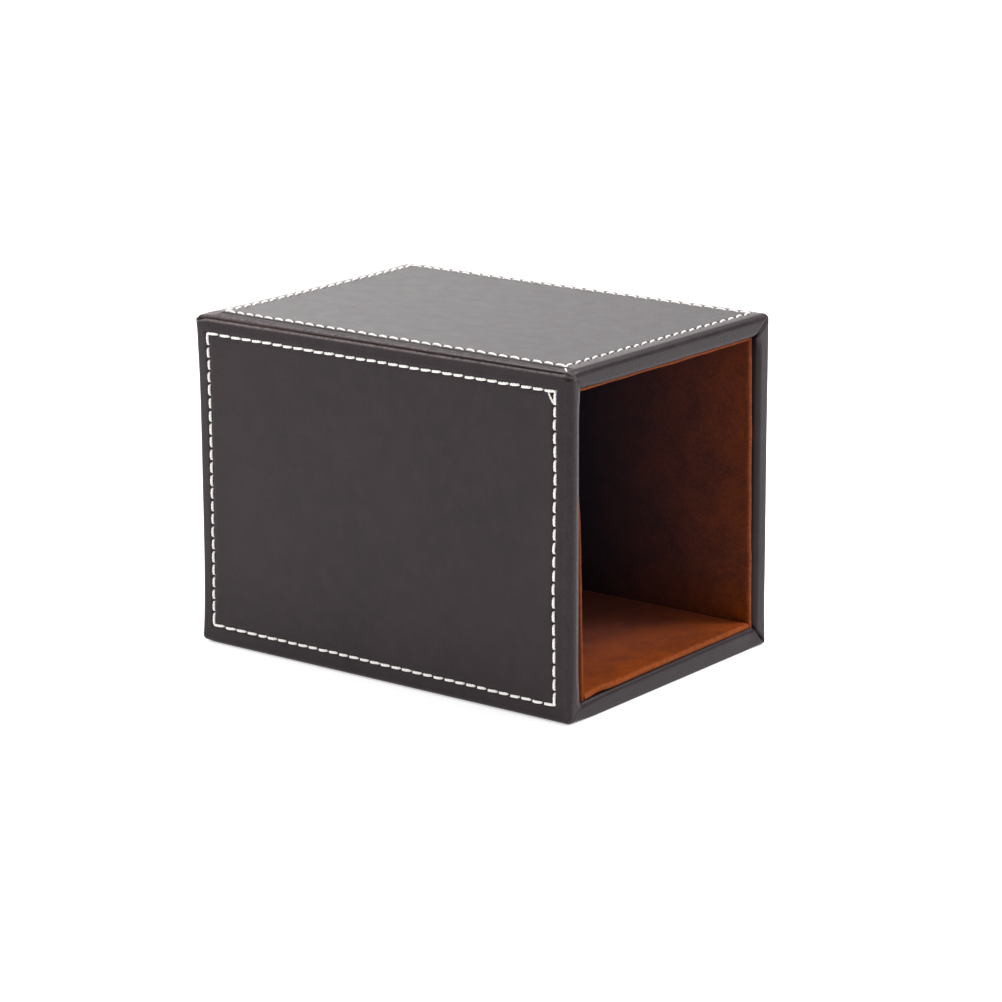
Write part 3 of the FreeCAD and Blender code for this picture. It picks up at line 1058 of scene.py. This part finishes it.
class Nodes:
    """A short way to write the node tree of a material or of the world."""

    def __init__(self, owner, shader="Principled BSDF"):
        owner.use_nodes = True
        self.owner = owner
        self.tree = owner.node_tree
        self.shader = self.tree.nodes[shader]
        self.coords = self.tree.nodes.new("ShaderNodeTexCoord").outputs
        self.place = self.coords["Object"]

    def feed(self, socket, value):
        """Link a socket, or set it where the value is a number, a vector or a colour."""
        if isinstance(value, bpy.types.NodeSocket):
            self.tree.links.new(value, socket)
        elif socket.type == "RGBA":
            socket.default_value = (*value, 1.0)
        else:
            socket.default_value = value

    def fill(self, node, inputs):
        """Feed a node's sockets by names that have underscores for spaces."""
        for key, value in inputs.items():
            self.feed(node.inputs[key.replace("_", " ")], value)
        return node

    def add(self, kind, **inputs):
        return self.fill(self.tree.nodes.new(kind), inputs)

    def set(self, **inputs):
        self.fill(self.shader, inputs)

    def noise(self, size, **inputs):
        """Noise from 0 to 1 with features of a size in millimetres."""
        settings = {"Detail": 3.0, "Roughness": 0.55, **inputs}
        node = self.add("ShaderNodeTexNoise", Scale=1 / (size * MM), Vector=self.place, **settings)
        return node.outputs["Fac"]

    def cells(self, size, smooth=0.4):
        node = self.add("ShaderNodeTexVoronoi", Scale=1 / (size * MM), Vector=self.place)
        node.feature = "SMOOTH_F1"
        node.inputs["Smoothness"].default_value = smooth
        return node.outputs["Distance"]

    def axis(self, index):
        return self.add("ShaderNodeSeparateXYZ", Vector=self.place).outputs[index]

    def attribute(self, name):
        node = self.add("ShaderNodeAttribute")
        node.attribute_name = name
        return node.outputs["Fac"]

    def remap(self, value, low, high, to_low, to_high):
        limits = {"From_Min": low, "From_Max": high, "To_Min": to_low, "To_Max": to_high}
        return self.add("ShaderNodeMapRange", Value=value, **limits).outputs["Result"]

    def spread(self, value, low, high):
        """Noise, most of which lies between 0.3 and 0.7, spread between two values."""
        return self.remap(value, 0.3, 0.7, low, high)

    def math(self, operation, *values):
        node = self.add("ShaderNodeMath")
        node.operation = operation
        for socket, value in zip(node.inputs, values):
            self.feed(socket, value)
        return node.outputs[0]

    def blend(self, factor, a, b):
        """A colour between two colours or colour sockets."""
        node = self.add("ShaderNodeMix")
        node.data_type = "RGBA"
        for index, value in ((0, factor), (6, a), (7, b)):
            self.feed(node.inputs[index], value)
        return node.outputs[2]

    def bump(self, value, distance, strength, **onto):
        settings = {"Height": value, "Distance": distance * MM, "Strength": strength, **onto}
        return self.add("ShaderNodeBump", **settings).outputs["Normal"]


def leather_material():
    n = Nodes(bpy.data.materials.new("dark_leather"))
    broad = n.noise(26.0, Detail=2.0)
    patch = n.noise(4.0)
    grain = n.cells(0.42)
    fine = n.noise(0.16)
    wrinkle = n.noise(1.3, Detail=4.0, Roughness=0.65, Distortion=0.6)
    tone = n.blend(n.spread(broad, 0.0, 1.0), (0.0120, 0.0069, 0.0086), (0.0165, 0.0098, 0.0117))
    tone = n.blend(n.remap(patch, 0.4, 0.7, 0.0, 0.5), tone, (0.024, 0.0150, 0.0172))
    tone = n.blend(n.remap(grain, 0.0, 0.28, 0.45, 0.0), tone, (0.009, 0.0055, 0.0065))
    # Wear and painted highlight: where the attribute is set (the seam's folded edges, the near folds
    # and the top's margins), the tone turns a light pinkish grey in uneven patches.
    uneven = n.remap(n.noise(0.8, Roughness=0.7), 0.35, 0.62, 0.25, 1.0)
    rubbed_and_lit = n.math("MULTIPLY", n.attribute("wear_and_highlight"), uneven)
    tone = n.blend(rubbed_and_lit, tone, (0.180, 0.144, 0.146))
    rough = n.math("ADD", n.spread(patch, 0.405, 0.455), n.spread(fine, -0.03, 0.04))
    matt = n.attribute("matt")
    duller = n.math("MULTIPLY", matt, n.remap(wrinkle, 0.35, 0.65, 0.08, 0.24))
    rough = n.math("ADD", rough, duller)
    creased = n.math("MULTIPLY", wrinkle, n.remap(matt, 0.0, 1.0, 1.0, 4.0))
    normal = n.bump(creased, 0.04, 0.7)
    normal = n.bump(grain, 0.06, 0.55, Normal=normal)
    normal = n.bump(fine, 0.016, 0.6, Normal=normal)
    n.set(Base_Color=tone, Roughness=rough, Normal=normal, IOR=1.28)
    n.set(Sheen_Weight=0.04, Sheen_Roughness=0.45, Sheen_Tint=(0.8, 0.75, 0.78))
    return n.owner


def thread_material():
    n = Nodes(bpy.data.materials.new("waxed_thread"))
    fibre = n.noise(0.09, Roughness=0.7)
    shade = n.noise(2.2, Detail=2.0)
    tone = n.blend(n.spread(fibre, 0.0, 1.0), (0.74, 0.72, 0.69), (0.87, 0.86, 0.84))
    tone = n.blend(n.remap(shade, 0.3, 0.75, 0.0, 0.2), tone, (0.74, 0.69, 0.63))
    n.set(Base_Color=tone, Roughness=n.spread(fibre, 0.5, 0.7))
    n.set(Normal=n.bump(fibre, 0.03, 0.6), Sheen_Weight=0.15)
    return n.owner


def suede_material(name, dark, light, raw, sheen_tint, sheen, deep=None):
    """Brushed suede: a nap that lies in soft patches, with a fuzz that catches grazing light.

    Its edges, where the attribute "wear_and_highlight" is 1, show the raw colour of the hide. Its
    colour can turn to a deep one, a painted shade, inside the well, away from the mouth, and a
    little way up the walls too.
    """
    n = Nodes(bpy.data.materials.new(name))
    sweep = n.noise(11.0, Detail=2.0, Roughness=0.5, Distortion=0.8)
    patch = n.noise(2.6, Roughness=0.6, Distortion=0.4)
    fuzz = n.noise(0.28, Detail=4.0, Roughness=0.7)
    speck = n.noise(0.6, Roughness=0.6)
    blend = n.math("ADD", n.spread(sweep, 0.05, 0.45), n.spread(patch, 0.1, 0.25))
    blend = n.math("ADD", blend, n.spread(fuzz, -0.15, 0.25))
    blend = n.math("ADD", blend, n.remap(speck, 0.4, 0.7, -0.05, 0.22))
    tone = n.blend(blend, dark, light)
    if deep:
        # Painted shade: the tone turns towards the dark, bluish deep colour away from the mouth, and
        # a quarter of the way to it up the walls.
        foot, head = (LINING_DEPTH + 2.0) * MM, (LINING_DEPTH + 10.0) * MM
        tone = n.blend(n.remap(n.axis(2), foot, head, 0.0, 0.25), tone, deep)
        back, front = (MOUTH_X - 50.0) * MM, (MOUTH_X - 2.0) * MM
        tone = n.blend(n.remap(n.axis(0), back, front, 0.95, 0.0), tone, deep)
    ragged = n.remap(n.noise(0.7, Detail=4.0, Roughness=0.7), 0.35, 0.65, 0.2, 1.0)
    tone = n.blend(n.math("MULTIPLY", n.attribute("wear_and_highlight"), ragged), tone, raw)
    normal = n.bump(fuzz, 0.07, 0.8, Normal=n.bump(patch, 0.10, 0.6))
    n.set(Base_Color=tone, Roughness=n.spread(fuzz, 0.85, 1.0), Normal=normal)
    n.set(Specular_IOR_Level=0.05, Sheen_Weight=sheen, Sheen_Roughness=0.45, Sheen_Tint=sheen_tint)
    return n.owner


def board_material():
    n = Nodes(bpy.data.materials.new("fibreboard"))
    fibre = n.noise(0.5, Detail=5.0, Roughness=0.7, Distortion=1.2)
    fleck = n.cells(1.1, 0.2)
    tone = n.blend(n.spread(fibre, 0.0, 1.0), (0.32, 0.20, 0.11), (0.52, 0.37, 0.22))
    tone = n.blend(n.remap(fleck, 0.0, 0.25, 0.5, 0.0), tone, (0.22, 0.13, 0.07))
    n.set(Base_Color=tone, Roughness=n.spread(fibre, 0.75, 0.9))
    n.set(Normal=n.bump(fibre, 0.08, 0.7), Specular_IOR_Level=0.3)
    return n.owner


def card_material():
    n = Nodes(bpy.data.materials.new("grey_card"))
    pulp = n.noise(0.35, Detail=5.0, Roughness=0.65, Distortion=0.7)
    fleck = n.noise(1.8, Detail=2.0)
    tone = n.blend(n.spread(pulp, 0.0, 1.0), (0.30, 0.28, 0.25), (0.47, 0.45, 0.41))
    tone = n.blend(n.remap(fleck, 0.55, 0.75, 0.0, 0.5), tone, (0.24, 0.22, 0.20))
    n.set(Base_Color=tone, Roughness=n.spread(pulp, 0.8, 0.95))
    n.set(Normal=n.bump(pulp, 0.05, 0.6), Specular_IOR_Level=0.25)
    return n.owner


def floor_material():
    n = Nodes(bpy.data.materials.new("white_floor"))
    tone = n.blend(n.noise(300.0, Detail=2.0), (0.74, 0.74, 0.74), (0.78, 0.78, 0.78))
    n.set(Base_Color=tone, Roughness=0.9)
    n.set(Specular_IOR_Level=0.1, Emission_Color=(1.0, 1.0, 1.0), Emission_Strength=0.45)
    return n.owner


# ---- the object ----

leather = leather_material()
thread = thread_material()
lining_suede = suede_material(
    "tan_suede",
    (0.036, 0.0090, 0.0036),
    (0.222, 0.0410, 0.0024),
    (0.20, 0.052, 0.016),
    (1.0, 0.22, 0.06),
    0.26,
    # the painted shade colour inside the well
    deep=(0.008, 0.0190, 0.034),
)
pad_suede = suede_material(
    "brown_suede",
    (0.050, 0.030, 0.026),
    (0.085, 0.055, 0.046),
    (0.10, 0.07, 0.06),
    (0.5, 0.38, 0.32),
    0.4,
)
board = board_material()
card = card_material()


def build_object():
    skin = dress(leather_jacket(), leather, "leather_jacket")
    for side in SIDES:
        stitching(side, thread)
        lining(side, lining_suede)
        lining_card(side, card)
    inner = soft_plate("base_lining", "base_lining_suede", shown=1, seed=4.0)
    pad = soft_plate("underside_pad", "underside_suede", shown=-1, seed=8.0)
    for obj, material, slot, node, rests_on in (
        (inner, lining_suede, "lining_suede", "base_lining_suede", "base_lining_card"),
        (pad, pad_suede, "underside_suede", "underside_suede", "underside_infill_card"),
    ):
        dress(obj, material, node)
    for name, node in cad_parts.items():
        material = board if name.endswith("_board") else card if name.endswith("_card") else None
        if material:
            for place in node.material_slots:
                place.material = material


# ---- floor, light and camera ----

# The world's even light, and its soft patches: direction, strength and how tightly each is gathered.
WORLD_BASE = 0.36
WORLD_PATCHES = (
    ((-0.88, 0.38, 0.3), 4.5, 14.0),
    ((-0.7, -0.6, 0.4), 0.4, 2.5),
    ((0.8, -0.55, 0.3), 0.3, 10.0),
)

FLOOR_RADIUS = 6.0  # metres
CAMERA_PLACE = (463.19, -602.893, 232.71)
CAMERA_TURNS = (37.2343, 14.7248, -0.0994)  # degrees: round Z from +Y, downwards, and about the view
CAMERA_LENS = 126.492
SENSOR_WIDTH = 36.0


def build_floor():
    bm = bmesh.new()
    bmesh.ops.create_circle(bm, cap_ends=True, radius=FLOOR_RADIUS, segments=64)
    mesh = bpy.data.meshes.new("floor")
    bm.to_mesh(mesh)
    bm.free()
    mesh.materials.append(floor_material())
    new_object("floor", mesh)


def area_light(name, place, target, size, energy):
    """A square light, in metres and watts."""
    data = bpy.data.lights.new(name, "AREA")
    data.shape = "RECTANGLE"
    data.size, data.size_y = size, size
    data.energy = energy
    turn = (Vector(target) - Vector(place)).to_track_quat("-Z", "Y").to_matrix().to_4x4()
    new_object(name, data).matrix_world = Matrix.Translation(place) @ turn


def build_world():
    world = bpy.data.worlds.new("studio")
    bpy.context.scene.world = world
    n = Nodes(world, "Background")
    total = WORLD_BASE
    for heading, strength, power in WORLD_PATCHES:
        dot = n.add("ShaderNodeVectorMath")
        dot.operation = "DOT_PRODUCT"
        n.feed(dot.inputs[0], n.coords["Generated"])
        n.feed(dot.inputs[1], Vector(heading).normalized())
        towards = n.remap(dot.outputs["Value"], -1.0, 1.0, 0.0, 1.0)
        total = n.math("MULTIPLY_ADD", n.math("POWER", towards, power), strength, total)
    n.set(Strength=total, Color=(1.0, 0.995, 0.99))


def build_camera():
    data = bpy.data.cameras.new("camera")
    data.sensor_width = SENSOR_WIDTH
    data.lens = CAMERA_LENS
    data.clip_start, data.clip_end = 0.05, 50.0
    heading, pitch, roll = (radians(turn) for turn in CAMERA_TURNS)
    flat = Vector((-sin(heading), cos(heading), 0.0)) * cos(pitch)
    ahead = flat - Vector((0, 0, sin(pitch)))
    level = ahead.cross(Vector((0, 0, 1))).normalized()
    above = level.cross(ahead)
    right = level * cos(roll) + above * sin(roll)
    up = above * cos(roll) - level * sin(roll)
    camera = new_object("camera", data)
    turn = Matrix((right, up, -ahead)).transposed().to_4x4()
    camera.matrix_world = Matrix.Translation(Vector(CAMERA_PLACE) * MM) @ turn
    bpy.context.scene.camera = camera


build_object()
build_floor()
build_world()
area_light("overhead", (0.35, 0.3, 1.2), (0, 0, 0.03), size=0.9, energy=8.0)
area_light("mouth_side", (0.38, 0.4, 0.82), (0.05, 0, 0.03), size=0.3, energy=8.0)
area_light("left_front", (-0.32, -0.28, 0.28), (0, 0, 0.04), size=0.3, energy=1.0)
build_camera()
bpy.context.scene.view_settings.view_transform = "Standard"
bpy.context.scene.view_settings.look = "None"
